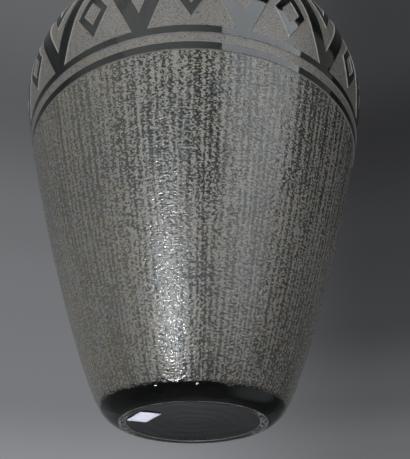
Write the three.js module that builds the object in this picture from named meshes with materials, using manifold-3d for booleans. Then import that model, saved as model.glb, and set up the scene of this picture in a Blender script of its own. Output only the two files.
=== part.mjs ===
// A blown glass baluster vase with an acid-etched body, and the paper label stuck in the hollow under its base.
// Millimetres, +Z up, with the origin at the centre of the ground ring that the vase stands on.
import * as THREE from "three";
import { mergeVertices } from "three/addons/utils/BufferGeometryUtils.js";
import Module from "manifold-3d";

// Foot: the flat ground ring, and the shallow polished hollow inside it
const RING_RADIUS = 47;
const RING_WIDTH = 4.3;
const RECESS_STEP = 0.9;
const RECESS_RISE = 1.6;

// Heel: the clear thick glass that rounds up from the ring into the body
const HEEL_RADIUS = 65.8;
const HEEL_RISE = 18.8;
const HEEL_LIFT = THREE.MathUtils.degToRad(12);

// Body: from the heel out to the widest place
const SHOULDER_RADIUS = 136.2;
const BODY_RISE = 237.2;
const BODY_SLOPE = 0.465;
const LOWER_PULL = 58.9;
const UPPER_PULL = 27.4;

// Shoulder, neck and rim
const SHOULDER_ROUND = 92;
const SHOULDER_SWEEP = THREE.MathUtils.degToRad(62);
const NECK_ROUND = 16;
const RIM_FLARE = THREE.MathUtils.degToRad(30);

// Glass thickness
const WALL = 7;
const BASE_THICKNESS = 20;
const FLOOR_ROUND = 18;

// Etched zones, as heights above the ground ring or from the widest place, and their depth
const ETCH_DEPTH = 0.6;
const ETCH_START = 7.8;
const ETCH_END_DROP = 53.4;
const BAND_HEIGHT = 5.1;
const RING_HEIGHT = 7.1;
const FRIEZE_RISE = 44;

// Frieze: polished zigzag bars with a lozenge under each peak and a wedge in each valley
const PEAKS = 12;
const BAR_WIDTH = 10;
const LOZENGE_WIDTH = 24;
const LOZENGE_HEIGHT = 40;
const LOZENGE_LIFT = 7;
const WEDGE_WIDTH = 32;
const WEDGE_HEIGHT = 36;
const WEDGE_DROP = 8;

// Label
const LABEL_LENGTH = 20;
const LABEL_WIDTH = 14;
const LABEL_THICKNESS = 0.2;
const LABEL_BEARING = THREE.MathUtils.degToRad(204.2);
const LABEL_TURN = THREE.MathUtils.degToRad(121.7);
const LABEL_CORNER = 1.2;

// Clearances: between the label and the glass over it, and between its corner and the ring
const GLUE_GAP = 0.3;
const LABEL_EDGE_GAP = 0.4;

// Facets round the vase, steps along its stretches, how far apart points are still one, and how far a cut
// starts outside the glass
const SEGMENTS = 48;
const STEPS = { hollow: 3, heel: 3, etch: 7, frieze: 5, top: 6, wall: 10, round: 3 };
const MERGE_DISTANCE = 1e-4;
const CUT_MARGIN = 2;

const recessRadius = RING_RADIUS - RING_WIDTH;
const shoulderHeight = HEEL_RISE + BODY_RISE;
const etchEnd = shoulderHeight - ETCH_END_DROP;
const friezeStart = etchEnd + BAND_HEIGHT + RING_HEIGHT + BAND_HEIGHT;
const friezeEnd = shoulderHeight + FRIEZE_RISE;
const floorHeight = RECESS_STEP + RECESS_RISE + BASE_THICKNESS;

const glass = new THREE.MeshStandardMaterial({
  color: 0x4b4a44, roughness: 0.35, metalness: 0, transparent: true, opacity: 0.75,
});
const paper = new THREE.MeshStandardMaterial({ color: 0xe9e8ee, roughness: 0.9, metalness: 0 });

const wasm = await Module();
wasm.setup();

// A closed geometry as a solid.
function solid(geometry) {
  const bare = geometry.clone();
  for (const name of Object.keys(bare.attributes)) {
    if (name !== "position") bare.deleteAttribute(name);
  }
  const merged = mergeVertices(bare, MERGE_DISTANCE);
  return new wasm.Manifold(
    new wasm.Mesh({
      numProp: 3,
      vertProperties: merged.attributes.position.array,
      triVerts: new Uint32Array(merged.index.array),
    }),
  );
}

// A solid's faces as a geometry.
function geometryOf(body) {
  const mesh = body.getMesh();
  const geometry = new THREE.BufferGeometry();
  geometry.setAttribute("position", new THREE.BufferAttribute(mesh.vertProperties, mesh.numProp));
  geometry.setIndex(new THREE.BufferAttribute(mesh.triVerts, 1));
  geometry.computeVertexNormals();
  return geometry;
}

// A profile of radius and height, turned about +Z.
function turned(points) {
  return new THREE.LatheGeometry(points, SEGMENTS).rotateX(Math.PI / 2);
}

// The polished outer outline, from the ground ring's edge up to the rim.
function outerSkin() {
  const ring = new THREE.Vector2(RING_RADIUS, 0);
  const heel = new THREE.Vector2(HEEL_RADIUS, HEEL_RISE);
  const run = (HEEL_RADIUS - RING_RADIUS - BODY_SLOPE * HEEL_RISE)
    / (Math.cos(HEEL_LIFT) - BODY_SLOPE * Math.sin(HEEL_LIFT));
  const under = new THREE.Vector2(run * Math.cos(HEEL_LIFT), run * Math.sin(HEEL_LIFT)).add(ring);
  const shoulder = new THREE.Vector2(SHOULDER_RADIUS, shoulderHeight);
  const roundCentre = SHOULDER_RADIUS - SHOULDER_ROUND;
  const reach = SHOULDER_ROUND + NECK_ROUND;
  const skin = new THREE.Path().moveTo(ring.x, ring.y);
  skin.quadraticCurveTo(under.x, under.y, heel.x, heel.y);
  skin.bezierCurveTo(
    heel.x + LOWER_PULL * BODY_SLOPE, heel.y + LOWER_PULL,
    shoulder.x, shoulder.y - UPPER_PULL,
    shoulder.x, shoulder.y,
  );
  skin.absarc(roundCentre, shoulderHeight, SHOULDER_ROUND, 0, SHOULDER_SWEEP);
  skin.absarc(
    roundCentre + reach * Math.cos(SHOULDER_SWEEP), shoulderHeight + reach * Math.sin(SHOULDER_SWEEP),
    NECK_ROUND, Math.PI + SHOULDER_SWEEP, Math.PI - RIM_FLARE, true,
  );
  return skin;
}

const skin = outerSkin();

// How far along the outline a height is, as a share of its length.
function shareAt(height) {
  let low = 0;
  let high = 1;
  for (let i = 0; i < 40; i += 1) {
    const middle = (low + high) / 2;
    if (skin.getPointAt(middle).y < height) low = middle;
    else high = middle;
  }
  return low;
}

// The outline's point at a share of its length, moved into the glass by a depth.
function inset(share, depth) {
  const tangent = skin.getTangentAt(share);
  return skin.getPointAt(share).add(new THREE.Vector2(-tangent.y, tangent.x).multiplyScalar(depth));
}

// A stretch of the outline between two heights, at one depth.
function stretch(from, to, depth, steps) {
  const start = shareAt(from);
  const end = shareAt(to);
  return Array.from({ length: steps + 1 }, (_, i) => inset(start + (end - start) * i / steps, depth));
}

// The shallow hollow under the base, as a height at each radius.
function recessHeight(radius) {
  return RECESS_STEP + RECESS_RISE * (1 - (radius / recessRadius) ** 2);
}

// Underside: the hollow's centre, out to the ground ring.
function undersideProfile() {
  const dome = Array.from({ length: STEPS.hollow + 1 }, (_, i) => {
    const radius = recessRadius * i / STEPS.hollow;
    return new THREE.Vector2(radius, recessHeight(radius));
  });
  return [...dome, new THREE.Vector2(recessRadius, 0)];
}

// Outside: the heel, the etched body and its bands, the frieze's zone and the neck.
function outsideProfile() {
  const lowBand = etchEnd + BAND_HEIGHT;
  const highBand = friezeStart - BAND_HEIGHT;
  const topRing = friezeEnd + BAND_HEIGHT;
  const rim = skin.getPointAt(1).y;
  return [
    ...stretch(0, ETCH_START, 0, STEPS.heel),
    ...stretch(ETCH_START, etchEnd, ETCH_DEPTH, STEPS.etch),
    ...stretch(etchEnd, lowBand, 0, 1),
    ...stretch(lowBand, highBand, ETCH_DEPTH, 1),
    ...stretch(highBand, friezeStart, 0, 1),
    ...stretch(friezeStart, friezeEnd, 0, STEPS.frieze).slice(1),
    ...stretch(friezeEnd, topRing, 0, 1).slice(1),
    ...stretch(topRing, topRing + RING_HEIGHT, ETCH_DEPTH, 1),
    ...stretch(topRing + RING_HEIGHT, rim, 0, STEPS.top),
  ];
}

// Rim: the rounded lip between the outer and the inner wall.
function lipProfile() {
  const tangent = skin.getTangentAt(1);
  const centre = inset(1, WALL / 2);
  const out = new THREE.Vector2(tangent.y, -tangent.x);
  return Array.from({ length: STEPS.round - 1 }, (_, i) => {
    const turn = Math.PI * (i + 1) / STEPS.round;
    return centre.clone()
      .addScaledVector(out, Math.cos(turn) * WALL / 2)
      .addScaledVector(tangent, Math.sin(turn) * WALL / 2);
  });
}

// Inside: the inner wall down from the rim, the rounded corner and the floor.
function insideProfile() {
  const slope = Math.atan(BODY_SLOPE);
  const cornerHeight = floorHeight + FLOOR_ROUND * (1 - Math.sin(slope));
  const cornerShare = shareAt(cornerHeight - WALL * Math.sin(slope));
  const wall = Array.from({ length: STEPS.wall + 1 }, (_, i) => {
    return inset(1 - (1 - cornerShare) * i / STEPS.wall, WALL);
  });
  const corner = wall[wall.length - 1];
  const centre = new THREE.Vector2(corner.x - FLOOR_ROUND * Math.cos(slope), floorHeight + FLOOR_ROUND);
  const round = Array.from({ length: STEPS.round }, (_, i) => {
    const angle = -slope + (slope - Math.PI / 2) * (i + 1) / STEPS.round;
    return new THREE.Vector2(Math.cos(angle), Math.sin(angle)).multiplyScalar(FLOOR_ROUND).add(centre);
  });
  return [...wall, ...round, new THREE.Vector2(0, floorHeight)];
}

// A flat outline on the shoulder, pushed through the glass along the radius at an angle round the vase.
function motif(points, angle) {
  const outline = new THREE.Shape(points.map(([across, up]) => new THREE.Vector2(across, up)));
  const inner = SHOULDER_RADIUS - SHOULDER_ROUND / 2;
  const depth = SHOULDER_ROUND;
  const radial = new THREE.Vector3(Math.cos(angle), Math.sin(angle), 0);
  const across = new THREE.Vector3(-Math.sin(angle), Math.cos(angle), 0);
  const place = new THREE.Matrix4().makeBasis(across, new THREE.Vector3(0, 0, 1), radial);
  place.setPosition(radial.clone().multiplyScalar(inner));
  return solid(new THREE.ExtrudeGeometry(outline, { depth, bevelEnabled: false }).applyMatrix4(place));
}

// One peak of the zigzag with its lozenge, and the wedge in the valley beside it.
function peak(index) {
  const step = 2 * Math.PI / PEAKS;
  const angle = index * step;
  const reach = skin.getPointAt(shareAt(friezeStart)).x * Math.tan(step / 2);
  const rise = friezeEnd - friezeStart;
  const half = BAR_WIDTH / 2 * Math.hypot(reach, rise) / rise;
  const over = rise * half / reach;
  const low = friezeStart - over;
  const high = friezeEnd + over;
  const bar = (side) => [
    [side * reach, low], [side * (reach + 2 * half), low], [0, high], [-side * 2 * half, high],
  ];
  const lozengeMiddle = friezeStart + LOZENGE_LIFT + LOZENGE_HEIGHT / 2;
  const lozenge = [
    [0, lozengeMiddle - LOZENGE_HEIGHT / 2], [LOZENGE_WIDTH / 2, lozengeMiddle],
    [0, lozengeMiddle + LOZENGE_HEIGHT / 2], [-LOZENGE_WIDTH / 2, lozengeMiddle],
  ];
  const wedgeTop = friezeEnd - WEDGE_DROP;
  const wedge = [
    [-WEDGE_WIDTH / 2, wedgeTop], [0, wedgeTop - WEDGE_HEIGHT], [WEDGE_WIDTH / 2, wedgeTop],
  ];
  return [bar(1), bar(-1), lozenge].map((points) => motif(points, angle))
    .concat(motif(wedge, angle + step / 2));
}

// The glass that etching takes away in the frieze: its zone without the bars, lozenges and wedges.
function friezeCut() {
  const outside = stretch(friezeStart, friezeEnd, -CUT_MARGIN, STEPS.frieze);
  const inside = stretch(friezeStart, friezeEnd, ETCH_DEPTH, STEPS.frieze).reverse();
  const zone = solid(turned([...outside, ...inside, outside[0].clone()]));
  const kept = Array.from({ length: PEAKS }, (_, i) => peak(i)).flat();
  return kept.reduce((rest, shape) => rest.subtract(shape), zone);
}

function vase() {
  const profile = [...undersideProfile(), ...outsideProfile(), ...lipProfile(), ...insideProfile()];
  const mesh = new THREE.Mesh(geometryOf(solid(turned(profile)).subtract(friezeCut())), glass);
  mesh.name = "glass_vase";
  return mesh;
}

// The label's centre, as near the ring as its corners allow.
function labelCentre() {
  const bearing = new THREE.Vector2(Math.cos(LABEL_BEARING), Math.sin(LABEL_BEARING));
  const limit = recessRadius - LABEL_EDGE_GAP;
  const distances = [[1, 1], [1, -1], [-1, 1], [-1, -1]].map(([along, across]) => {
    const corner = new THREE.Vector2(along * LABEL_LENGTH / 2, across * LABEL_WIDTH / 2);
    corner.rotateAround(new THREE.Vector2(), LABEL_TURN);
    const forward = corner.dot(bearing);
    return -forward + Math.sqrt(forward ** 2 - corner.lengthSq() + limit ** 2);
  });
  return bearing.multiplyScalar(Math.min(...distances));
}

// A rectangle with rounded corners, which follows the hollow at the glue's gap.
function label() {
  const x = LABEL_LENGTH / 2;
  const y = LABEL_WIDTH / 2;
  const r = LABEL_CORNER;
  const outline = new THREE.Shape().moveTo(r - x, -y);
  outline.lineTo(x - r, -y).absarc(x - r, r - y, r, -Math.PI / 2, 0);
  outline.lineTo(x, y - r).absarc(x - r, y - r, r, 0, Math.PI / 2);
  outline.lineTo(r - x, y).absarc(r - x, y - r, r, Math.PI / 2, Math.PI);
  outline.lineTo(-x, r - y).absarc(r - x, r - y, r, Math.PI, Math.PI * 1.5);
  const geometry = new THREE.ExtrudeGeometry(outline, {
    depth: LABEL_THICKNESS, bevelEnabled: false, curveSegments: 3,
  });
  const centre = labelCentre();
  geometry.rotateZ(LABEL_TURN).translate(centre.x, centre.y, -GLUE_GAP - LABEL_THICKNESS);
  const places = geometry.attributes.position;
  for (let i = 0; i < places.count; i += 1) {
    places.setZ(i, places.getZ(i) + recessHeight(Math.hypot(places.getX(i), places.getY(i))));
  }
  const mesh = new THREE.Mesh(geometryOf(solid(geometry)), paper);
  mesh.name = "paper_label";
  return mesh;
}

const group = new THREE.Group();
group.add(vase(), label());

export default group;
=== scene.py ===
"""A smoked, acid-etched glass baluster vase with a blank paper label under its base."""

import logging
import math
from bisect import bisect_right
from dataclasses import dataclass, field
from enum import Enum

import bmesh
import bpy
from mathutils import Matrix, Vector


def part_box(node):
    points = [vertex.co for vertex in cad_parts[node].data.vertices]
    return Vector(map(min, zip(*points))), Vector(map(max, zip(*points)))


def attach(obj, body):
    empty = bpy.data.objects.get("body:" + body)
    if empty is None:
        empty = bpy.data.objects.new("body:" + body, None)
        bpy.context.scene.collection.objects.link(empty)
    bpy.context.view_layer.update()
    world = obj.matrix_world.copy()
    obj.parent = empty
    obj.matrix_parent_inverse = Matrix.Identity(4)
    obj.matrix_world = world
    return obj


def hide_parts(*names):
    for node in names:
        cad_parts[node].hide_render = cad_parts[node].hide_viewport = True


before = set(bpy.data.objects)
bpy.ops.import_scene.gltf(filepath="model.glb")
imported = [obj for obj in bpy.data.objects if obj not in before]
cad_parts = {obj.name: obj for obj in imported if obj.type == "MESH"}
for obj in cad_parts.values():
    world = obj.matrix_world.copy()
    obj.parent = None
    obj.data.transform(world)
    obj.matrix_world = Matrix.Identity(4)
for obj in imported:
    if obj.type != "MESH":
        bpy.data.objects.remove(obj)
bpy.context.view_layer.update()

LOG = logging.getLogger("glass_vase")
MM = 0.001
GLASS_IOR = 1.5
WATTS_PER_RADIANCE = 4.0
Colour = tuple[float, float, float]
Node = bpy.types.Node
Socket = bpy.types.NodeSocket


class Finish(Enum):
    """The finishes of the glass, in the order of the vase's material slots."""

    POLISHED = 0
    HOLLOW = 1
    GROUND = 2
    STREAKED = 3
    FROSTED = 4
    # The edge finish is paler frost on the bevels: partly the bevel's own frost catching real light, partly a
    # painted highlight line along each etched edge.
    EDGE = 5
    LINING = 6


@dataclass(frozen=True)
class VaseSizes:
    """The vase's sizes in millimetres and its angles in radians, the same as the frame's."""

    ring_radius: float = 47.0
    ring_width: float = 4.3
    hollow_step: float = 0.9
    hollow_rise: float = 1.6
    heel_radius: float = 65.8
    heel_rise: float = 18.8
    heel_lift: float = math.radians(12)
    shoulder_radius: float = 136.2
    body_rise: float = 237.2
    body_slope: float = 0.465
    lower_pull: float = 58.9
    upper_pull: float = 27.4
    shoulder_round: float = 92.0
    shoulder_sweep: float = math.radians(62)
    neck_round: float = 16.0
    rim_flare: float = math.radians(30)
    wall: float = 7.0
    base: float = 20.0
    floor_round: float = 18.0
    etch_depth: float = 0.6
    etch_start: float = 7.8
    etch_end_drop: float = 53.4
    band: float = 5.1
    frost_ring: float = 7.1
    frieze_rise: float = 44.0

    @property
    def hollow_radius(self) -> float:
        """Radius of the hollow inside the foot ring."""
        return self.ring_radius - self.ring_width

    @property
    def shoulder_height(self) -> float:
        """Height of the widest place."""
        return self.heel_rise + self.body_rise

    @property
    def floor_height(self) -> float:
        """Height of the floor inside the vase."""
        return self.hollow_step + self.hollow_rise + self.base

    @property
    def etch_end(self) -> float:
        """Height of the streaked body's upper edge."""
        return self.shoulder_height - self.etch_end_drop

    @property
    def frieze_start(self) -> float:
        """Height of the frieze's lower edge."""
        return self.etch_end + 2 * self.band + self.frost_ring

    @property
    def frieze_end(self) -> float:
        """Height of the frieze's upper edge."""
        return self.shoulder_height + self.frieze_rise

    def hollow_height(self, radius: float) -> float:
        """Gives the height of the hollow under the base.

        Args:
            radius: Distance from the axis.

        Returns:
            The height above the foot ring's face.
        """
        return self.hollow_step + self.hollow_rise * (1 - (radius / self.hollow_radius) ** 2)


def arc(centre: Vector, radius: float, start: float, end: float, steps: int) -> list[Vector]:
    """Makes points along a round stretch.

    Args:
        centre: Centre of the arc.
        radius: Radius of the arc.
        start: Angle of its first point.
        end: Angle of its last point.
        steps: Number of steps between them.

    Returns:
        The points, first and last included.
    """
    angles = [start + (end - start) * i / steps for i in range(steps + 1)]
    return [centre + radius * Vector((math.cos(a), math.sin(a))) for a in angles]


def bezier(ends: list[Vector], steps: int) -> list[Vector]:
    """Makes points along a Bezier curve with any number of control points.

    Args:
        ends: The control points.
        steps: Number of steps along the curve.

    Returns:
        The points, first and last included.
    """
    points = []
    for i in range(steps + 1):
        level = [p.copy() for p in ends]
        while len(level) > 1:
            level = [a.lerp(b, i / steps) for a, b in zip(level, level[1:])]
        points.append(level[0])
    return points


class Section:
    """The outline of the glass, from the middle of its underside up, over the lip and down to its floor."""

    HOLLOW_STEPS = 24
    HEEL_STEPS = 30
    BODY_STEPS = 120
    SHOULDER_STEPS = 60
    NECK_STEPS = 40
    LIP_STEPS = 24
    FLOOR_STEPS = 16
    RING_BEVEL = ((0.15, 0.35), (0.5, 0.05), (0.9, 0.0))
    RING_MARGIN = 0.4

    def __init__(self, sizes: VaseSizes) -> None:
        """Traces the outline.

        Args:
            sizes: The vase's sizes.
        """
        self.sizes = sizes
        under = self._underside()
        skin = self._skin()
        self.points = under + skin
        self.foot_index = len(under)
        self.rim_index = len(self.points) - 1
        rim, rim_normal = self.points[-1], self._normal(self.rim_index)
        lip_middle = rim - rim_normal * sizes.wall / 2
        turn = math.atan2(rim_normal.y, rim_normal.x)
        self.points += arc(lip_middle, sizes.wall / 2, turn, turn + math.pi, self.LIP_STEPS)[1:]
        self.lip_index = len(self.points) - 1
        self.points += self._inner_wall()
        self.lengths = [0.0]
        for a, b in zip(self.points, self.points[1:]):
            self.lengths.append(self.lengths[-1] + (b - a).length)
        self.normals = [self._normal(i) for i in range(len(self.points))]

    def _normal(self, index: int) -> Vector:
        """Finds the direction out of the glass at one point of the outline.

        Args:
            index: The point's place in the list.

        Returns:
            The direction, of length 1.
        """
        before = self.points[max(index - 1, 0)]
        after = self.points[min(index + 1, len(self.points) - 1)]
        along = (after - before).normalized()
        return Vector((along.y, -along.x))

    def _underside(self) -> list[Vector]:
        """Traces the hollow and the flat foot ring.

        Returns:
            The points, from the axis to just inside the ring's outer edge.
        """
        s = self.sizes
        radii = [s.hollow_radius * i / self.HOLLOW_STEPS for i in range(self.HOLLOW_STEPS + 1)]
        dome = [Vector((r, s.hollow_height(r))) for r in radii]
        bevel = [Vector((s.hollow_radius + out, height)) for out, height in self.RING_BEVEL]
        return dome + bevel + [Vector((s.ring_radius - self.RING_MARGIN, 0.0))]

    def _skin(self) -> list[Vector]:
        """Traces the outside from the foot ring's edge to the rim.

        Returns:
            The points, first and last included.
        """
        s = self.sizes
        ring = Vector((s.ring_radius, 0.0))
        heel = Vector((s.heel_radius, s.heel_rise))
        run = s.heel_radius - s.ring_radius - s.body_slope * s.heel_rise
        run /= math.cos(s.heel_lift) - s.body_slope * math.sin(s.heel_lift)
        under = ring + run * Vector((math.cos(s.heel_lift), math.sin(s.heel_lift)))
        shoulder = Vector((s.shoulder_radius, s.shoulder_height))
        lower = heel + s.lower_pull * Vector((s.body_slope, 1.0))
        upper = shoulder - Vector((0.0, s.upper_pull))
        centre = shoulder - Vector((s.shoulder_round, 0.0))
        sweep = s.shoulder_sweep
        reach = (s.shoulder_round + s.neck_round) * Vector((math.cos(sweep), math.sin(sweep)))
        return (
            bezier([ring, under, heel], self.HEEL_STEPS)
            + bezier([heel, lower, upper, shoulder], self.BODY_STEPS)[1:]
            + arc(centre, s.shoulder_round, 0.0, sweep, self.SHOULDER_STEPS)[1:]
            + arc(centre + reach, s.neck_round, math.pi + sweep, math.pi - s.rim_flare, self.NECK_STEPS)[1:]
        )

    def _inner_wall(self) -> list[Vector]:
        """Traces the inside from the lip to the middle of the floor.

        Returns:
            The points after the lip's last one.
        """
        s = self.sizes
        slope = math.atan(s.body_slope)
        corner_height = s.floor_height + s.floor_round * (1 - math.sin(slope))
        wall = []
        for index in range(self.rim_index - 1, self.foot_index, -1):
            place = self.points[index] - self._normal(index) * s.wall
            if place.y < corner_height:
                break
            wall.append(place)
        self.corner_index = self.lip_index + len(wall)
        middle = Vector((wall[-1].x - s.floor_round * math.cos(slope), s.floor_height + s.floor_round))
        corner = arc(middle, s.floor_round, -slope, -math.pi / 2, self.FLOOR_STEPS)[1:]
        return wall + corner + [Vector((0.0, s.floor_height))]

    def length_at(self, height: float) -> float:
        """Finds how far along the outline a height on the outside is.

        Args:
            height: Height above the foot ring's face.

        Returns:
            The length from the start of the outline.
        """
        for i in range(self.foot_index, self.rim_index):
            low, high = self.points[i], self.points[i + 1]
            if low.y <= height <= high.y:
                share = (height - low.y) / (high.y - low.y)
                return self.lengths[i] + share * (self.lengths[i + 1] - self.lengths[i])
        raise ValueError(f"no place on the outside is {height} mm high")

    def at(self, length: float) -> tuple[Vector, Vector]:
        """Finds a place on the outline.

        Args:
            length: Length from the start of the outline.

        Returns:
            The point, as radius and height, and the direction out of the glass there.
        """
        index = min(max(bisect_right(self.lengths, length) - 1, 0), len(self.points) - 2)
        step = self.lengths[index + 1] - self.lengths[index]
        share = min(max((length - self.lengths[index]) / step, 0.0), 1.0)
        point = self.points[index].lerp(self.points[index + 1], share)
        return point, self.normals[index].lerp(self.normals[index + 1], share).normalized()


@dataclass(frozen=True)
class Motif:
    """A convex figure of the frieze, as an anticlockwise outline on the unrolled glass, in millimetres."""

    outline: tuple[Vector, ...]

    def edges(self) -> list[tuple[Vector, Vector]]:
        """Gives each edge as a point on it and the direction inwards."""
        pairs = zip(self.outline, self.outline[1:] + self.outline[:1])
        return [(a, Vector((a.y - b.y, b.x - a.x)).normalized()) for a, b in pairs]

    def depth_inside(self, place: Vector) -> float:
        """Measures how far inside the figure a place is.

        Args:
            place: A place on the unrolled glass.

        Returns:
            The distance to the nearest edge line, negative outside.
        """
        return min((place - point).dot(inward) for point, inward in self.edges())


@dataclass
class Frieze:
    """A zigzag of polished bars, with a lozenge under each peak and a wedge in each valley."""

    section: Section
    reach_radius: float = 132.0
    peaks: int = 12
    bar: float = 10.0
    lozenge: tuple[float, float] = (24.0, 40.0)
    lozenge_lift: float = 7.0
    wedge: tuple[float, float] = (32.0, 36.0)
    wedge_drop: float = 8.0
    core_margin: float = 5.0

    @property
    def half_width(self) -> float:
        """Half the width of one peak on the unrolled glass."""
        return math.pi / self.peaks * self.reach_radius

    @property
    def low(self) -> float:
        """Height of the frieze's lower edge."""
        return self.section.sizes.frieze_start

    @property
    def high(self) -> float:
        """Height of the frieze's upper edge."""
        return self.section.sizes.frieze_end

    def _figure(self, corners: list[tuple[float, float]]) -> Motif:
        """Lays a figure out on the unrolled glass.

        Args:
            corners: Its corners, anticlockwise, as the distance across and the height.

        Returns:
            The figure.
        """
        return Motif(tuple(Vector((across, self.section.length_at(height))) for across, height in corners))

    def bars(self) -> list[Motif]:
        """Makes the two bars of the peak, from the valleys beside it up to its point.

        Returns:
            The right bar and the left bar.
        """
        rise = self.high - self.low
        half = self.bar / 2 * math.hypot(self.half_width, rise) / rise
        over = rise * half / self.half_width
        low, high = self.low - over, self.high + over
        right = [(self.half_width, low), (self.half_width + 2 * half, low), (0.0, high), (-2 * half, high)]
        left = [(-across, height) for across, height in reversed(right)]
        return [self._figure(right), self._figure(left)]

    def lozenges(self, margin: float = 0.0) -> list[Motif]:
        """Makes the lozenge under the peak.

        Args:
            margin: How far its points are drawn in, for its frosted core.

        Returns:
            The one lozenge.
        """
        half_width, half_height = self.lozenge[0] / 2 - margin, self.lozenge[1] / 2 - margin * 2
        middle = self.low + self.lozenge_lift + self.lozenge[1] / 2
        low, high = middle - half_height, middle + half_height
        return [self._figure([(0, low), (half_width, middle), (0, high), (-half_width, middle)])]

    def wedges(self, margin: float = 0.0) -> list[Motif]:
        """Makes the wedges in the valleys on both sides of the peak.

        Args:
            margin: How far its edges are drawn in, for its frosted core.

        Returns:
            The two wedges.
        """
        width, height = self.wedge
        slope = math.hypot(width / 2, height) / (width / 2)
        top = self.high - self.wedge_drop - margin
        tip = self.high - self.wedge_drop - height + margin * slope
        half = width / 2 * (top - tip) / height
        sides = (-self.half_width, self.half_width)
        return [self._figure([(x - half, top), (x, tip), (x + half, top)]) for x in sides]

    def raised(self) -> list[Motif]:
        """Gives the polished figures."""
        return self.bars() + self.lozenges() + self.wedges()

    def cores(self) -> list[Motif]:
        """Gives the frosted cores of the lozenges and the wedges."""
        return self.lozenges(self.core_margin) + self.wedges(self.core_margin)


@dataclass(frozen=True)
class RowSpacing:
    """How far apart the strip's rows are along each stretch of the section, in millimetres.

    Before and past the ring is how far the close rows of its inner edge reach, and the mouth's depth is how
    far the rows below the lip reach.
    """

    hollow: float = 6.0
    ring_edge: float = 0.3
    ring_face: float = 1.5
    heel: float = 1.3
    streaked: float = 3.6
    frosted: float = 3.0
    polished: float = 2.6
    etched_edge: float = 1.0
    lip: float = 0.9
    mouth: float = 2.5
    lining: float = 6.0
    corner: float = 2.2
    floor: float = 8.0
    before_ring: float = 2.0
    past_ring: float = 1.0
    mouth_depth: float = 40.0


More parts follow.
